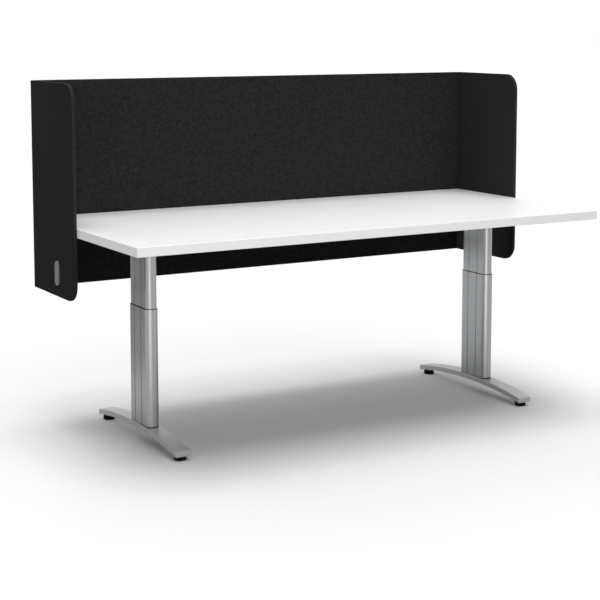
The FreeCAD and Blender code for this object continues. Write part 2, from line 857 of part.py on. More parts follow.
def skirt_band(name, x, grow):
    """The two end stretches of a band round the cavity, where the collar reaches down."""
    more = grow * 2
    band = rounded_bar(f"{name}_bar", cavity_width + more, cavity_depth + more, cavity_corner + grow, s.collar_skirt)
    place(band, x, s.column_y, s.lower_high - s.collar_skirt)
    middle = box(
        f"{name}_middle",
        (s.lower_width + 2, s.skirt_free_half * 2, s.collar_skirt + 2),
        (x - s.lower_width / 2 - 1, s.column_y - s.skirt_free_half, s.lower_high - s.collar_skirt - 1),
    )
    return cut(f"{name}_band", band, [middle])


def clamp_screw_spots(side):
    """The two screws that hold the clamp block, starting at its outer face."""
    face_y = column_back + s.clamp_block_thick
    return [(s.column_x * side, face_y, s.clamp_z + reach) for reach in (-18, 18)]


def make_lower_column(name, side):
    """The outer extrusion, recessed at its upper end for the collar and bored for the clamp."""
    length = s.lower_high - s.lower_low
    x = s.column_x * side
    body = new_body(f"{name}_lower_body")
    sketch = new_sketch(body, f"{name}_lower_section")
    add_rounded_rectangle(sketch, s.lower_width, s.lower_depth, s.lower_corner, "outer")
    add_rounded_rectangle(sketch, cavity_width, cavity_depth, cavity_corner, "inner")
    add_pad(body, sketch, length, f"{name}_lower_pad")
    add_grooves(body, s.lower_width, length, f"{name}_lower")
    place(body, x, s.column_y, s.lower_low)
    tools = [skirt_band(f"{name}_recess", x, s.skirt_recess)]
    shoe_start = (x, column_back - s.lower_wall, s.clamp_z)
    tools.append(bore(f"{name}_clamp_hole", s.clamp_hole_radius, shoe_start, ALONG_Y, s.lower_wall + 1))
    for index, start in enumerate(clamp_screw_spots(side)):
        tools.append(bore(f"{name}_wall_hole_{index}", 2.5, start, BACK_Y, s.clamp_block_thick + s.lower_wall + 1))
    keep(cut(f"{name}_lower_cut", body, tools), f"{name}_lower_column")


def make_collar(name, side):
    """The plastic collar on top of the outer extrusion that guides the inner one."""
    x = s.column_x * side
    inset = s.collar_set_back * 2
    rim = rounded_bar(
        f"{name}_rim", s.lower_width - inset, s.lower_depth - inset, s.lower_corner - s.collar_set_back, s.collar_rim
    )
    place(rim, x, s.column_y, s.lower_high)
    skirt = skirt_band(f"{name}_skirt", x, s.skirt_recess - 0.05)
    fit = s.slide_gap * 2
    height = s.collar_skirt + s.collar_rim + 2
    opening = rounded_bar(f"{name}_opening", s.upper_width + fit, s.upper_depth + fit, s.upper_corner + s.slide_gap, height)
    place(opening, x, s.column_y, s.lower_high - s.collar_skirt - 1)
    whole = fuse(f"{name}_collar_whole", [rim, skirt])
    keep(cut(f"{name}_collar_cut", whole, [opening]), f"{name}_column_collar")


def make_clamp(name, side):
    """A threaded saddle block on the round back of the outer extrusion, its screw and the shoe it presses."""
    x = s.column_x * side
    low = s.clamp_z - s.clamp_block_height / 2
    block = box(
        f"{name}_block_blank",
        (s.clamp_block_width, s.clamp_block_thick + 2, s.clamp_block_height),
        (x - s.clamp_block_width / 2, column_back - 2, low),
    )
    saddle = rounded_bar(f"{name}_saddle", s.lower_width, s.lower_depth, s.lower_corner, s.clamp_block_height + 2)
    place(saddle, x, s.column_y, low - 1)
    at_wall = (x, column_back, s.clamp_z)
    tools = [
        saddle,
        bore(f"{name}_block_thread", s.clamp_thread_radius, at_wall, ALONG_Y, s.clamp_block_thick + 1),
        bore(f"{name}_block_recess", s.clamp_hole_radius, at_wall, ALONG_Y, s.clamp_recess),
    ]
    screws = []
    for index, start in enumerate(clamp_screw_spots(side)):
        tools.append(bore(f"{name}_block_hole_{index}", 2.5, start, BACK_Y, s.clamp_block_thick + 1))
        tools.append(cone(f"{name}_block_sink_{index}", 4.7, 2.5, 2.7, start, BACK_Y))
        screws.append(countersunk_screw(f"{name}_block_screw_{index}", start, BACK_Y, 4.6, 2.6, 2.45, 9.4, 1.8))
    keep(cut(f"{name}_block_cut", block, tools), f"{name}_clamp_block")
    keep(group(f"{name}_block_fixings", screws), f"{name}_block_screws")
    shoe_y = s.column_y + s.upper_depth / 2 + s.slide_gap
    fit = s.slide_gap * 2
    inner = rounded_bar(f"{name}_shoe_cradle", s.upper_width + fit, s.upper_depth + fit, s.upper_corner + s.slide_gap, 20)
    place(inner, x, s.column_y, s.clamp_z - 10)
    shoe = rod(f"{name}_shoe", s.clamp_shoe_radius, s.clamp_shoe_thick + 1, (x, shoe_y - 1, s.clamp_z), ALONG_Y)
    keep(cut(f"{name}_shoe_cut", shoe, [inner]), f"{name}_clamp_shoe")
    screw_y = shoe_y + s.clamp_shoe_thick + 0.05
    end_y = column_back + s.clamp_block_thick + s.clamp_screw_out
    screw = rod(f"{name}_clamp_shank", s.clamp_screw_radius, end_y - screw_y, (x, screw_y, s.clamp_z), ALONG_Y)
    key = hexagon(f"{name}_clamp_key", 1.75, 4, (x, end_y - 3, s.clamp_z), ALONG_Y)
    keep(cut(f"{name}_clamp_whole", screw, [key]), f"{name}_clamp_screw")


# ---- feet ------------------------------------------------------------------------------------


def add_arch(sketch):
    """Two concentric arcs closed by upright ends: the side view of a foot."""
    radius = s.foot_radius
    inner = radius - s.foot_thick
    centre_z = s.foot_crown - radius
    half = s.foot_length / 2
    centre = Vector(0, centre_z.number, 0)
    ends = {}
    for key, size in (("top", radius), ("under", inner)):
        tilt = math.asin(half.number / size.number)
        circle = Part.Circle(centre, Vector(0, 0, 1), size.number)
        arc = Part.ArcOfCircle(circle, math.pi / 2 - tilt, math.pi / 2 + tilt)
        ends[key] = (sketch.addGeometry(arc, False), centre_z.number + size.number * math.cos(tilt))
    top, top_z = ends["top"]
    under, under_z = ends["under"]
    left = sketch.addGeometry(
        Part.LineSegment(Vector(-half.number, top_z, 0), Vector(-half.number, under_z, 0)), False
    )
    right = sketch.addGeometry(
        Part.LineSegment(Vector(half.number, under_z, 0), Vector(half.number, top_z, 0)), False
    )
    for pair in ((top, 2, left, 1), (left, 2, under, 2), (under, 1, right, 1), (right, 2, top, 1), (top, 3, under, 3)):
        sketch.addConstraint(Sketcher.Constraint("Coincident", *pair))
    for line in (left, right):
        sketch.addConstraint(Sketcher.Constraint("Vertical", line))
    add_point(sketch, top, 3, 0, centre_z, "centre")
    constrain(sketch, "Radius", (top,), radius, "top_radius")
    constrain(sketch, "Radius", (under,), inner, "under_radius")
    constrain(sketch, "DistanceX", (-1, 1, right, 1), half, "front_end")
    constrain(sketch, "DistanceX", (left, 1, -1, 1), half, "rear_end")


def foot_bolt_spots(side):
    return [(s.column_x * side, s.column_y + s.foot_bolt_y * along, as_size(48.5)) for along in (-1, 1)]


def make_foot(name, side):
    """An arched flat bar with blind threaded holes near its tips and two bolts at its crown."""
    x = s.column_x * side
    body = new_body(f"{name}_foot_body")
    sketch = new_sketch(body, f"{name}_foot_outline", "YZ_Plane")
    add_arch(sketch)
    pad = add_pad(body, sketch, s.foot_width, f"{name}_foot_pad")
    add_fillet(body, pad, edges_where(pad, lambda edge: True), s.foot_edge, f"{name}_foot_edges")
    place(body, x - s.foot_width / 2, s.foot_y, 0)
    tools = []
    for index, start in enumerate(foot_bolt_spots(side)):
        tools.append(bore(f"{name}_foot_bolt_sink_{index}", 8.4, shifted(start, DOWN_Z, 20), ALONG_Z, 20))
        tools.append(bore(f"{name}_foot_bolt_hole_{index}", 5, start, ALONG_Z, 20))
    for index, along in enumerate((-1, 1)):
        start = (x, s.foot_y + s.leveller_y * along, as_size(5))
        tools.append(rod(f"{name}_foot_thread_{index}", s.thread_radius, s.thread_top - 5, start))
    keep(cut(f"{name}_foot_cut", body, tools), f"{name}_foot")
    return body


def make_foot_joint(name, side, foot_body):
    """The gasket, block and bolts that hold the outer extrusion on the crown of its foot."""
    x = s.column_x * side
    inset = 0.6
    blank = rounded_bar(f"{name}_gasket_blank", s.lower_width - inset * 2, s.lower_depth - inset * 2, s.lower_corner - inset, 5)
    place(blank, x, s.column_y, s.lower_low - 5)
    block = rounded_bar(f"{name}_base_blank", cavity_width - 0.1, cavity_depth - 0.1, cavity_corner - 0.05, s.base_block_height)
    place(block, x, s.column_y, s.lower_low)
    gasket_tools = [foot_body]
    block_tools = []
    bolts = []
    for index, start in enumerate(foot_bolt_spots(side)):
        gasket_tools.append(bore(f"{name}_gasket_hole_{index}", 5, start, ALONG_Z, 20))
        block_tools.append(bore(f"{name}_base_hole_{index}", 5, start, ALONG_Z, 30))
        bolts.append(cap_screw(f"{name}_foot_bolt_{index}", start, ALONG_Z, 8, 7, 4.95, 22, 4.6))
    keep(cut(f"{name}_gasket_cut", blank, gasket_tools), f"{name}_foot_gasket")
    keep(cut(f"{name}_base_cut", block, block_tools), f"{name}_base_block")
    keep(group(f"{name}_foot_fixings", bolts), f"{name}_foot_bolts")


def make_leveller(name, side, along):
    """A floor pad that a threaded stud, turned by its hexagon, carries up and down."""
    x = s.column_x * side
    y = s.foot_y + s.leveller_y * along
    edge = 1.5
    pad = spin(
        f"{name}_pad_body",
        [
            (0, 0),
            (s.pad_radius - edge, 0),
            (s.pad_radius, edge),
            (s.pad_radius, s.pad_height - edge),
            (s.pad_radius - edge, s.pad_height),
            (s.pad_dish_radius, s.pad_height),
            (s.pad_dish_radius, s.pad_dish_floor),
            (s.thread_radius + 0.1, s.pad_dish_floor),
            (s.thread_radius + 0.1, s.socket_high),
            (s.socket_radius, s.socket_high),
            (s.socket_radius, s.socket_low),
            (0, s.socket_low),
        ],
    )
    keep(place(pad, x, y, 0), f"{name}_leveller_pad")
    gap = 0.05
    radius = s.stud_radius
    stud = spin(
        f"{name}_stud_body",
        [
            (0, s.socket_low + gap),
            (s.socket_radius - gap, s.socket_low + gap),
            (s.socket_radius - gap, s.socket_high - gap),
            (radius, s.socket_high - gap),
            (radius, s.stud_top - 1),
            (radius - 1, s.stud_top),
            (0, s.stud_top),
        ],
    )
    place(stud, x, y, 0)
    nut = hexagon(f"{name}_stud_hex", s.collar_hex, s.collar_hex_height, (x, y, s.pad_dish_floor + 0.1))
    keep(fuse(f"{name}_stud_whole", [stud, nut]), f"{name}_leveller_stud")


# ---- assembly --------------------------------------------------------------------------------


def make_all():
    make_desktop()
    make_screen(make_dowels())
    make_tag_plate()
    make_brackets()
    for name, direction in (("front_cross_rail", -1), ("rear_cross_rail", 1)):
        make_rail(name, direction)
    make_frame_fasteners()
    shoe_screws = []
    for name, side in SIDES:
        make_arm(name, side)
        make_head_plate(name, side)
        make_upper_column(name, side)
        shoe_screws += make_end_shoe(name, side)
        make_lower_column(name, side)
        make_collar(name, side)
        make_clamp(name, side)
        make_foot_joint(name, side, make_foot(name, side))
        for place_name, along in (("front", -1), ("rear", 1)):
            make_leveller(f"{name}_{place_name}", side, along)
    keep(group("shoe_fixings", shoe_screws), "shoe_screws")


def check_and_export():
    doc.recompute()
    for item in doc.Objects:
        if "Invalid" in item.State or "Error" in item.State:
            raise RuntimeError(f"{item.Name} failed: {item.State}")
    os.makedirs("parts", exist_ok=True)
    for name, item in nodes.items():
        shape = item.Shape
        if shape.isNull() or not shape.isValid() or not shape.Solids:
            raise RuntimeError(f"{name} has a bad shape")
        shape.exportStep(f"parts/{name}.step")
        print(f"{name}: {len(shape.Solids)} solid(s), {shape.Volume / 1000:.1f} cm3")
    print(f"{len(nodes)} nodes")


make_all()
check_and_export()
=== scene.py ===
"""Looks of the study carrel: felt panels, finishes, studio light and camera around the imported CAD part."""

import json
import math
import random

import bmesh
import bpy
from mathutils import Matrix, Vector, noise
from mathutils.geometry import delaunay_2d_cdt


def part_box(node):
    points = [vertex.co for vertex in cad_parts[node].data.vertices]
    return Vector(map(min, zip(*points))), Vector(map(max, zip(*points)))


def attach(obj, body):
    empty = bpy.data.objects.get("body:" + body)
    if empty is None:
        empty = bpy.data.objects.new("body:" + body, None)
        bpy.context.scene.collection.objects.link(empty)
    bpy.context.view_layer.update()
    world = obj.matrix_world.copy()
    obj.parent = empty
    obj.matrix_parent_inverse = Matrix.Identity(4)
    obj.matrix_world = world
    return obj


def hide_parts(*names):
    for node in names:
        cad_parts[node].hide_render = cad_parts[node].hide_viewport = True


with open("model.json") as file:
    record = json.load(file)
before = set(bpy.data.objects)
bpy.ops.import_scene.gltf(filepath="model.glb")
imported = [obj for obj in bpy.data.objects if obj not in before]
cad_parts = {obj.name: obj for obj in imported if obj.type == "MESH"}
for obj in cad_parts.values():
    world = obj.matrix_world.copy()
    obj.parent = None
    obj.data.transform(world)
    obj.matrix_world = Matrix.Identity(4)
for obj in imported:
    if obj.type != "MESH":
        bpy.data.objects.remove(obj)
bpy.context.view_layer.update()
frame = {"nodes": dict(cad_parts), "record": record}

SEED = 5
SIDES = ("left", "right")


def add_object(name, data):
    item = bpy.data.objects.new(name, data)
    bpy.context.scene.collection.objects.link(item)
    return item


# ---- material nodes --------------------------------------------------------------------------

# where the colour sockets stand among the inputs and outputs of a Mix node
MIX_COLOURS = (6, 7)
MIX_RESULT = 2


class Shader:
    """A Principled material whose colour, roughness and bump come from nodes."""

    def __init__(self, name):
        self.material = bpy.data.materials.new(name)
        self.material.use_nodes = True
        self.tree = self.material.node_tree
        self.surface = next(n for n in self.tree.nodes if n.type == "BSDF_PRINCIPLED")
        self.place = self.add("ShaderNodeTexCoord").outputs["Object"]

    def add(self, kind, **settings):
        node = self.tree.nodes.new(kind)
        for key, value in settings.items():
            setattr(node, key, value)
        return node

    def link(self, source, target):
        self.tree.links.new(source, target)

    def stretched(self, scale):
        """Coordinates in metres, stretched by a scale on each axis."""
        node = self.add("ShaderNodeMapping")
        node.inputs["Scale"].default_value = scale
        self.link(self.place, node.inputs["Vector"])
        return node.outputs["Vector"]

    def noise(self, scale, detail=3.0, rough=0.5, stretch=(1, 1, 1)):
        node = self.add("ShaderNodeTexNoise")
        node.inputs["Scale"].default_value = scale
        node.inputs["Detail"].default_value = detail
        node.inputs["Roughness"].default_value = rough
        self.link(self.stretched(stretch), node.inputs["Vector"])
        return node.outputs["Fac"]

    def spread(self, source, low, high, start=0.3, end=0.7):
        """Maps the middle of a noise onto a range of numbers."""
        node = self.add("ShaderNodeMapRange")
        node.inputs["From Min"].default_value = start
        node.inputs["From Max"].default_value = end
        node.inputs["To Min"].default_value = low
        node.inputs["To Max"].default_value = high
        self.link(source, node.inputs["Value"])
        return node.outputs["Result"]

    def mix(self, factor, first, second):
        """A colour between two others, each of them a socket or three linear numbers."""
        node = self.add("ShaderNodeMix", data_type="RGBA")
        self.link(factor, node.inputs["Factor"])
        for index, value in zip(MIX_COLOURS, (first, second)):
            socket = node.inputs[index]
            if isinstance(value, bpy.types.NodeSocket):
                self.link(value, socket)
            else:
                socket.default_value = (*value, 1)
        return node.outputs[MIX_RESULT]

    def colour(self, source):
        self.link(source, self.surface.inputs["Base Color"])

    def roughness(self, source):
        self.link(source, self.surface.inputs["Roughness"])

    def bump(self, height, distance, strength):
        """Adds a bump on top of any earlier one."""
        node = self.add("ShaderNodeBump")
        node.inputs["Strength"].default_value = strength
        node.inputs["Distance"].default_value = distance
        self.link(height, node.inputs["Height"])
        normal = self.surface.inputs["Normal"]
        if normal.is_linked:
            self.link(normal.links[0].from_socket, node.inputs["Normal"])
        self.link(node.outputs["Normal"], normal)

    def set(self, **values):
        """Sets sockets of the Principled shader, with underscores for the spaces in their names."""
        for key, value in values.items():
            self.surface.inputs[key.replace("_", " ")].default_value = value


def grey(level, cool=0.0):
    """A linear grey, a little blue where cool is above zero."""
    return (level * (1 - cool), level, level * (1 + cool))


def white_sheet(name, level, rough):
    """White laminate or edging: nearly even, with a faint orange-peel surface."""
    shader = Shader(name)
    cloud = shader.noise(3.0, detail=2.0)
    shader.colour(shader.mix(cloud, grey(level * 0.985), grey(level)))
    shader.roughness(shader.spread(shader.noise(40.0, detail=4.0), rough - 0.05, rough + 0.05))
    shader.bump(shader.noise(900.0, detail=2.0), distance=0.00005, strength=0.35)
    shader.set(Specular_IOR_Level=0.45)
    return shader.material


def felt(name, level, mottle):
    """Pressed felt: a dark ground, lighter fibres and a fine uneven nap."""
    shader = Shader(name)
    blotch = shader.spread(shader.noise(130.0, rough=0.6), 0.0, 1.0)
    ground = shader.mix(blotch, grey(level * (1 - mottle)), grey(level * (1 + mottle)))
    fibre = shader.spread(shader.noise(900.0, detail=4.0, rough=0.7), 0.0, 0.5, start=0.5, end=0.72)
    shader.colour(shader.mix(fibre, ground, grey(level * 2.1)))
    shader.roughness(shader.spread(shader.noise(500.0), 0.88, 1.0))
    shader.bump(shader.noise(1600.0, rough=0.7), distance=0.0004, strength=0.5)
    shader.bump(shader.noise(160.0, rough=0.6), distance=0.0006, strength=0.25)
    shader.set(Specular_IOR_Level=0.08)
    return shader.material


def drawn_metal(name, level, rough, along=(1, 1, 0.01), cool=0.01):
    """Bare or anodised metal; its fine lines run along the axis whose share in along is small."""
    shader = Shader(name)
    lines = shader.noise(1400.0, rough=0.6, stretch=along)
    broad = shader.noise(90.0, detail=2.0, stretch=along)
    tone = shader.mix(broad, grey(level * 0.95, cool), grey(level * 1.04, cool))
    shader.colour(shader.mix(shader.spread(lines, 0.0, 0.35), tone, grey(level * 0.82, cool)))
    shader.roughness(shader.spread(lines, rough - 0.05, rough + 0.07))
    shader.bump(lines, distance=0.00003, strength=0.3)
    shader.set(Metallic=1.0)
    return shader.material


def lacquered_metal(name, level, rough, metallic, cool=0.0):
    """Silver lacquer: tiny bright flakes under a satin surface."""
    shader = Shader(name)
    flake = shader.spread(shader.noise(2600.0, detail=1.0), 0.0, 1.0, start=0.35, end=0.65)
    shader.colour(shader.mix(flake, grey(level * 0.93, cool), grey(level * 1.07, cool)))
    shader.roughness(shader.spread(shader.noise(60.0), rough - 0.04, rough + 0.04))
    shader.bump(shader.noise(700.0, detail=2.0), distance=0.00004, strength=0.4)
    shader.set(Metallic=metallic)
    return shader.material


def plastic(name, level, rough, cool=0.0, shine=0.5):
    """Moulded plastic with a fine spark-eroded grain."""
    shader = Shader(name)
    shader.colour(shader.mix(shader.noise(200.0), grey(level * 0.85, cool), grey(level * 1.15, cool)))
    shader.roughness(shader.spread(shader.noise(300.0), rough - 0.06, rough + 0.06))
    shader.bump(shader.noise(1800.0, detail=2.0), distance=0.00008, strength=0.5)
    shader.set(Specular_IOR_Level=shine)
    return shader.material


def chipboard(name):
    """Pressed wood chips, seen where the board is cut."""
    shader = Shader(name)
    chip = shader.add("ShaderNodeTexVoronoi")
    chip.inputs["Scale"].default_value = 320.0
    shader.link(shader.stretched((1, 1, 2.5)), chip.inputs["Vector"])
    tone = shader.mix(chip.outputs["Color"], (0.30, 0.20, 0.11), (0.66, 0.52, 0.34))
    shader.colour(shader.mix(shader.noise(700.0), tone, (0.48, 0.36, 0.22)))
    shader.roughness(shader.spread(shader.noise(400.0), 0.75, 0.95))
    shader.bump(chip.outputs["Distance"], distance=0.0003, strength=0.5)
    return shader.material


def beech(name):
    """Beech with its grain along X."""
    shader = Shader(name)
    grain = shader.noise(260.0, detail=4.0, rough=0.6, stretch=(0.05, 1, 1))
    shader.colour(shader.mix(grain, (0.50, 0.33, 0.18), (0.74, 0.57, 0.38)))
    shader.roughness(shader.spread(grain, 0.55, 0.75))
    shader.bump(grain, distance=0.0001, strength=0.4)
    return shader.material


def make_materials():
    """One material for each slot of the part, and two more for the wings and the rims of the felt."""
    return {
        "laminate_white": white_sheet("laminate_white", level=0.93, rough=0.42),
        "edge_white": white_sheet("edge_white", level=0.91, rough=0.5),
        "board": chipboard("board"),
        "felt": felt("felt", level=0.019, mottle=0.42),
        "felt_wing": felt("felt_wing", level=0.0205, mottle=0.04),
        # lighter felt for the rims: partly the paler cut edge of pressed felt, partly painted light standing
        # in for the brighter front light the rims catch
        "felt_edge": felt("felt_edge", level=0.028, mottle=0.04),
        "dowel_wood": beech("dowel_wood"),
        "tag_grey": plastic("tag_grey", level=0.21, rough=0.45, cool=0.02),
        "frame_steel": lacquered_metal("frame_steel", level=0.42, rough=0.45, metallic=0.3),
        "zinc_steel": drawn_metal("zinc_steel", level=0.62, rough=0.32, along=(1, 1, 1)),
        "column_silver": drawn_metal("column_silver", level=0.345, rough=0.34, cool=0.022),
        "foot_silver": lacquered_metal("foot_silver", level=0.45, rough=0.40, metallic=0.65, cool=0.018),
        "black_plastic": plastic("black_plastic", level=0.005, rough=0.6, shine=0.08),
    }


def dress_nodes(looks):
    """Gives every CAD node the look of its material slot."""
    for entry in frame["record"]["subparts"]:
        node = frame["nodes"][entry["node"]]
        look = looks[entry["material_slot"]]
        if not node.material_slots:
            node.data.materials.append(look)
        for slot in node.material_slots:
            slot.material = look


# ---- felt panels -----------------------------------------------------------------------------

# sizes in metres
SQUARE_CORNER = 0.0022
ROUND_CORNER = 0.060
SMALLEST_RADIUS = 0.0002
EDGE_ROUND = 0.0018
DIMPLE = 0.00035
# spacing of the mesh points, in metres, and the rings in each softened edge
ARC_STEP = 0.006
ALONG_STEP = 0.014
FILL_STEP = 0.016
EDGE_STEPS = 4
# shares of the fill spacing: how far a point strays, and how far the fill keeps off the edge
FILL_STRAY = 0.2
FILL_MARGIN = 0.45
# settings of the triangulation: keep only what is inside the outline, and merge closer points
KEEP_INSIDE = 1
MERGE_DISTANCE = 1e-7
# waves in the face of the felt: waves per metre, offset in the noise, share of the depth
WAVES = ((26, 3.1, 1.0), (80, 9.7, 0.5))
# shares of the dimple depth: the mean dent, and how much the waves add or take
MEAN_DENT = 0.5
WAVE_DENT = 0.33
# how fast the noise changes through the panel, so that its two faces differ
WAVES_THROUGH = 40


def rounded_outline(low, high, radii, inset):
    """Points anticlockwise round a rectangle with a radius at each corner, moved inwards by an inset."""
    # each corner: its place, the way to its centre, the angle where its arc starts and its radius
    corners = (
        ((low[0], low[1]), (1, 1), 180, radii[0]),
        ((high[0], low[1]), (-1, 1), 270, radii[1]),
        ((high[0], high[1]), (-1, -1), 0, radii[2]),
        ((low[0], high[1]), (1, -1), 90, radii[3]),
    )
    arcs = []
    for (x, y), (to_x, to_y), start, radius in corners:
        centre = (x + to_x * radius, y + to_y * radius)
        reach = max(radius - inset, SMALLEST_RADIUS)
        steps = max(3, math.ceil(radius * math.pi / 2 / ARC_STEP))
        arc = []
        for step in range(steps + 1):
            turn = math.radians(start + 90 * step / steps)
            arc.append((centre[0] + reach * math.cos(turn), centre[1] + reach * math.sin(turn)))
        arcs.append(arc)
    points = []
    sides = (high[0] - low[0], high[1] - low[1])
    for index, arc in enumerate(arcs):
        points += arc
        after = (index + 1) % 4
        straight = sides[index % 2] - radii[index] - radii[after]
        pieces = max(1, round(straight / ALONG_STEP))
        (start_x, start_y), (end_x, end_y) = arc[-1], arcs[after][0]
        for piece in range(1, pieces):
            share = piece / pieces
            points.append((start_x + (end_x - start_x) * share, start_y + (end_y - start_y) * share))
    return points


def fill_points(low, high, radii, rng):
    """Scattered points that fill the inside of a rounded rectangle."""
    points = []
    columns = round((high[0] - low[0]) / FILL_STEP)
    rows = round((high[1] - low[1]) / FILL_STEP)
    inner = rounded_outline(low, high, radii, EDGE_ROUND + FILL_STEP * FILL_MARGIN)
    for column in range(columns + 1):
        for row in range(rows + 1):
            stray_x = rng.uniform(-FILL_STRAY, FILL_STRAY) * FILL_STEP
            stray_y = rng.uniform(-FILL_STRAY, FILL_STRAY) * FILL_STEP
            x = low[0] + FILL_STEP * (column + 0.5 * (row % 2)) + stray_x
            y = low[1] + FILL_STEP * row + stray_y
            if inside(inner, x, y):
                points.append((x, y))
    return points


def inside(outline, x, y):
    """True where a point is inside a convex outline that runs anticlockwise."""
    for (ax, ay), (bx, by) in zip(outline, outline[1:] + outline[:1]):
        if (bx - ax) * (y - ay) - (by - ay) * (x - ax) < 0:
            return False
    return True


def make_panel(name, node, radii, look, edge_look):
    """A slab of pressed felt with softened edges and a slightly uneven face."""
    lo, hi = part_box(node)
    spans = [hi[i] - lo[i] for i in range(3)]
    thin = spans.index(min(spans))
    across = 1 if thin == 0 else 0
    low, high = (lo[across], lo[2]), (hi[across], hi[2])
    middle, half = (lo[thin] + hi[thin]) / 2, spans[thin] / 2
    rng = random.Random(SEED + len(name))
    mesh = bmesh.new()

    def corner(x, y, height, depth):
        """A mesh point from a place on the panel's face and a height through it."""
        place = [0.0, 0.0, y]
        place[across] = x
        place[thin] = middle + height
        wave = 0.0
        for count, offset, share in WAVES:
            wave += share * noise.noise(Vector((x * count, y * count, offset + height * WAVES_THROUGH)))
        place[thin] -= math.copysign(depth * (MEAN_DENT + WAVE_DENT * wave), height)
        return mesh.verts.new(place)

    rings = []
    for side in (1, -1):
        order = range(EDGE_STEPS + 1) if side > 0 else range(EDGE_STEPS, -1, -1)
        for step in order:
            turn = math.pi / 2 * step / EDGE_STEPS
            inset = EDGE_ROUND * (1 - math.sin(turn))
            height = side * (half - EDGE_ROUND * (1 - math.cos(turn)))
            rings.append([corner(x, y, height, 0.0) for x, y in rounded_outline(low, high, radii, inset)])
    for first, second in zip(rings, rings[1:]):
        for index in range(len(first)):
            after = (index + 1) % len(first)
            face = mesh.faces.new((first[index], first[after], second[after], second[index]))
            face.material_index = 1
    flat_ring = rounded_outline(low, high, radii, EDGE_ROUND)
    for side, ring in ((1, rings[0]), (-1, rings[-1])):
        points = [Vector(p) for p in flat_ring + fill_points(low, high, radii, rng)]
        edges = [(i, (i + 1) % len(flat_ring)) for i in range(len(flat_ring))]
        verts, _, faces, origins, _, _ = delaunay_2d_cdt(points, edges, [], KEEP_INSIDE, MERGE_DISTANCE)
        made = []
        for vert, origin in zip(verts, origins):
            if origin and origin[0] < len(flat_ring):
                made.append(ring[origin[0]])
            else:
                made.append(corner(vert[0], vert[1], side * half, DIMPLE))
        for face in faces:
            mesh.faces.new([made[i] for i in face])
    bmesh.ops.recalc_face_normals(mesh, faces=mesh.faces[:])
    data = bpy.data.meshes.new(name)
    mesh.to_mesh(data)
    mesh.free()
    data.materials.append(look)
    data.materials.append(edge_look)
    for polygon in data.polygons:
        polygon.use_smooth = True
    panel = add_object(name, data)
    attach(panel, "top")
    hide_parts(node)
    return panel


def make_panels(looks):
    """The back panel and the two wings, whose front corners are round; returns the wings."""
    # the rims take the lighter felt, which is partly painted light on the rims
    edge = looks["felt_edge"]
    make_panel("back_felt", "back_screen", (SQUARE_CORNER,) * 4, looks["felt"], edge)
    wing = (ROUND_CORNER, SQUARE_CORNER, SQUARE_CORNER, ROUND_CORNER)
    look = looks["felt_wing"]
    return [make_panel(f"{side}_wing_felt", f"{side}_wing", wing, look, edge) for side in SIDES]


# ---- studio ----------------------------------------------------------------------------------

# sizes in metres
FLOOR_REACH = 40.0
SUN_DISTANCE = 6.0
# where the broad streak cards point: the columns' place across the desk, then depth and height
COLUMN_X = 0.69
STREAK_AIM = (-0.06, 0.35)


def add_sheet(name, corners, shader):
    """One flat four-sided face."""
    mesh = bpy.data.meshes.new(name)
    mesh.from_pydata(corners, [], [(0, 1, 2, 3)])
    mesh.materials.append(shader.material)
    return add_object(name, mesh)


def make_floor():
    """A floor that is white to look at and in reflections, and darker as a source of bounced light."""
    shader = Shader("floor")
    seen = shader.mix(shader.noise(1.5), grey(0.90), grey(0.91))
    path = shader.add("ShaderNodeLightPath")
    sight = shader.add("ShaderNodeMath", operation="MAXIMUM")
    shader.link(path.outputs["Is Camera Ray"], sight.inputs[0])
    shader.link(path.outputs["Is Glossy Ray"], sight.inputs[1])
    shader.colour(shader.mix(sight.outputs["Value"], grey(0.32), seen))
    shader.set(Roughness=0.9, Specular_IOR_Level=0.1)
    corners = [(x * FLOOR_REACH, y * FLOOR_REACH, 0) for x, y in ((-1, -1), (1, -1), (1, 1), (-1, 1))]
    floor = add_sheet("floor", corners, shader)
    return floor


def make_world(strength, mirrored, seen):
    """An even white studio that is brighter to look at, and in reflections, than it is as a light."""
    world = bpy.data.worlds.new("studio")
    bpy.context.scene.world = world
    world.use_nodes = True
    tree = world.node_tree
    path = tree.nodes.new("ShaderNodeLightPath")
    shade = next(n for n in tree.nodes if n.type == "BACKGROUND")
    shade.inputs["Color"].default_value = (1, 1, 1, 1)
    shade.inputs["Strength"].default_value = strength
    for ray, level in (("Is Glossy Ray", mirrored), ("Is Camera Ray", seen)):
        bright = tree.nodes.new("ShaderNodeBackground")
        bright.inputs["Color"].default_value = (1, 1, 1, 1)
        bright.inputs["Strength"].default_value = level
        mix = tree.nodes.new("ShaderNodeMixShader")
        tree.links.new(path.outputs[ray], mix.inputs["Fac"])
        tree.links.new(shade.outputs[0], mix.inputs[1])
        tree.links.new(bright.outputs[0], mix.inputs[2])
        shade = mix
    output = next(n for n in tree.nodes if n.type == "OUTPUT_WORLD")
    tree.links.new(shade.outputs[0], output.inputs["Surface"])


def hide_from(item, *rays):
    for ray in rays:
        setattr(item, f"visible_{ray}", False)


def aim(item, target):
    item.rotation_euler = (Vector(target) - item.location).to_track_quat("-Z", "Y").to_euler()


def linked(name, pieces, choice):
    """A collection that tells a lamp which pieces to leave out, or which to keep to."""
    listed = bpy.data.collections.new(name)
    for piece in pieces:
        listed.objects.link(piece)
    for entry in listed.collection_objects:
        entry.light_linking.link_state = choice
    return listed


def make_sun(name, strength, spread, direction, passes=()):
    """A broad distant lamp; the listed pieces throw no shadow in its light."""
    light = bpy.data.lights.new(name, "SUN")
    light.energy = strength
    light.angle = math.radians(spread)
    item = add_object(name, light)
    item.location = Vector(direction) * SUN_DISTANCE
    aim(item, (0, 0, 0))
    if passes:
        item.light_linking.blocker_collection = linked(f"{name}_passes", passes, "EXCLUDE")


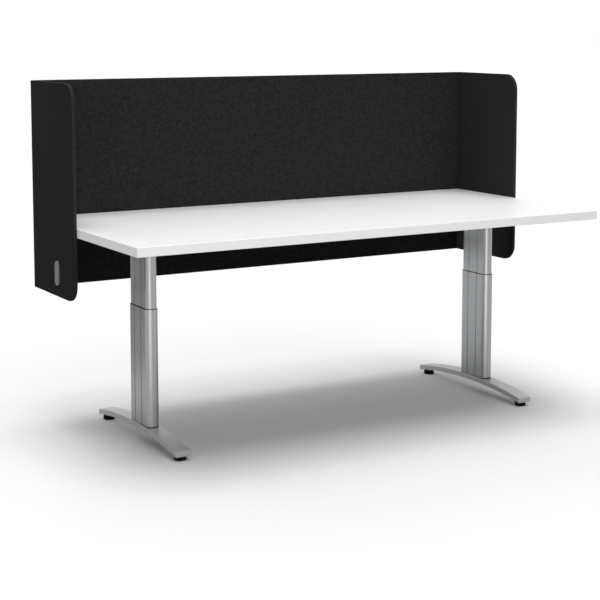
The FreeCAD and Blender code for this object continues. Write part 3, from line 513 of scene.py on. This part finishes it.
def make_card(name, power, size, place, target, choice, pieces, unseen_by):
    """A softbox that leaves out the listed pieces or lights only those, and that some rays do not see."""
    light = bpy.data.lights.new(name, "AREA")
    light.shape = "RECTANGLE"
    light.size, light.size_y = size
    light.energy = power
    item = add_object(name, light)
    item.location = place
    aim(item, target)
    hide_from(item, "camera", unseen_by)
    item.light_linking.receiver_collection = linked(f"{name}_surfaces", pieces, choice)


def make_flag(name, level, start, end, top):
    """An upright grey card between two points of the floor that only dims what shiny surfaces mirror."""
    shader = Shader(name)
    shader.colour(shader.mix(shader.noise(2.0), grey(level * 0.97), grey(level)))
    card = add_sheet(name, [(*start, 0), (*end, 0), (*end, top), (*start, top)], shader)
    hide_from(card, "camera", "diffuse", "transmission", "volume_scatter", "shadow")


def make_studio(wings):
    """Broad light from above, fill from the left front, and streaks for the metal to mirror."""
    nodes = frame["nodes"]
    floor = make_floor()
    make_world(strength=0.18, mirrored=0.8, seen=1.0)
    feet = [nodes[f"{side}_foot"] for side in SIDES]
    make_sun("overhead", strength=1.85, spread=40, direction=(0.02, 0.0, 1.0))
    make_sun("front", strength=0.45, spread=50, direction=(-0.05, -0.7, 1.0))
    make_sun("rear", strength=0.95, spread=60, direction=(0.05, 0.7, 1.0), passes=feet)

    left_wing, right_wing = wings
    flat = [floor, nodes["top_laminate"]]
    fills = (
        # name, power, size, place, target, which rule, and the pieces the rule names
        ("front_card", 64, (2.0, 1.2), (-0.5, -3.6, 2.4), (0.1, 0, 0.8), "EXCLUDE", flat),
        ("left_card", 30, (1.5, 1.0), (-4.0, -1.5, 1.8), (-0.9, 0, 0.7), "EXCLUDE", [*flat, left_wing]),
        ("wing_card", 2.8, (0.5, 0.3), (0.2, -0.1, 0.45), (0.9, 0.24, 0.58), "INCLUDE", [right_wing]),
    )
    for fill in fills:
        make_card(*fill, unseen_by="glossy")

    left_upper, right_upper = ([nodes[f"{side}_upper_column"]] for side in SIDES)
    left_leg = [*left_upper, nodes["left_lower_column"], nodes["left_foot"]]
    right_columns = [*right_upper, nodes["right_lower_column"]]
    left_aim = (-COLUMN_X, *STREAK_AIM)
    right_aim = (COLUMN_X, *STREAK_AIM)
    streaks = (
        # name, power, size, place, target, and the only pieces that mirror it
        ("left_shine", 2.45, (0.7, 0.7), (-1.17, -1.05, 0.35), left_aim, left_leg),
        ("left_front", 0.35, (0.9, 0.7), (0.14, -0.62, 0.35), left_aim, left_leg),
        ("right_shine", 2.5, (0.6, 0.7), (0.21, -0.96, 0.35), right_aim, right_columns),
        ("right_side", 0.35, (0.5, 0.7), (-0.2, 0.33, 0.35), right_aim, right_columns),
        ("left_top", 0.1, (0.25, 0.22), (-0.833, 0.316, 0.60), (-COLUMN_X, 0, 0.63), left_upper),
        ("right_top", 0.16, (0.25, 0.15), (0.448, 0.315, 0.645), (COLUMN_X, 0, 0.67), right_upper),
    )
    for *streak, pieces in streaks:
        make_card(*streak, "INCLUDE", pieces, unseen_by="diffuse")
    make_flag("rear_flag", level=0.58, start=(-1.7, 0.9), end=(-0.95, 0.9), top=0.55)


# ---- camera ----------------------------------------------------------------------------------

# place in metres, angles in degrees, lens and sensor in millimetres, shift as a share of the sensor
CAMERA_PLACE = (-2.7008, -4.5061, 1.3869)
CAMERA_DROP = 6.485
CAMERA_TURN = -30.13
CAMERA_LENS = 89.61
CAMERA_SENSOR = 36.0
CAMERA_SHIFT = -0.1757
CAMERA_FAR = 200


def make_camera():
    """A long lens that looks a little downwards; the rest of its drop is lens shift."""
    camera = bpy.data.cameras.new("camera")
    camera.sensor_width = CAMERA_SENSOR
    camera.lens = CAMERA_LENS
    camera.shift_y = CAMERA_SHIFT
    camera.clip_end = CAMERA_FAR
    item = add_object("camera", camera)
    item.location = CAMERA_PLACE
    item.rotation_euler = (math.radians(90 - CAMERA_DROP), 0, math.radians(CAMERA_TURN))
    bpy.context.scene.camera = item


bpy.context.scene.view_settings.view_transform = "Standard"
make_camera()
looks = make_materials()
dress_nodes(looks)
make_studio(make_panels(looks))
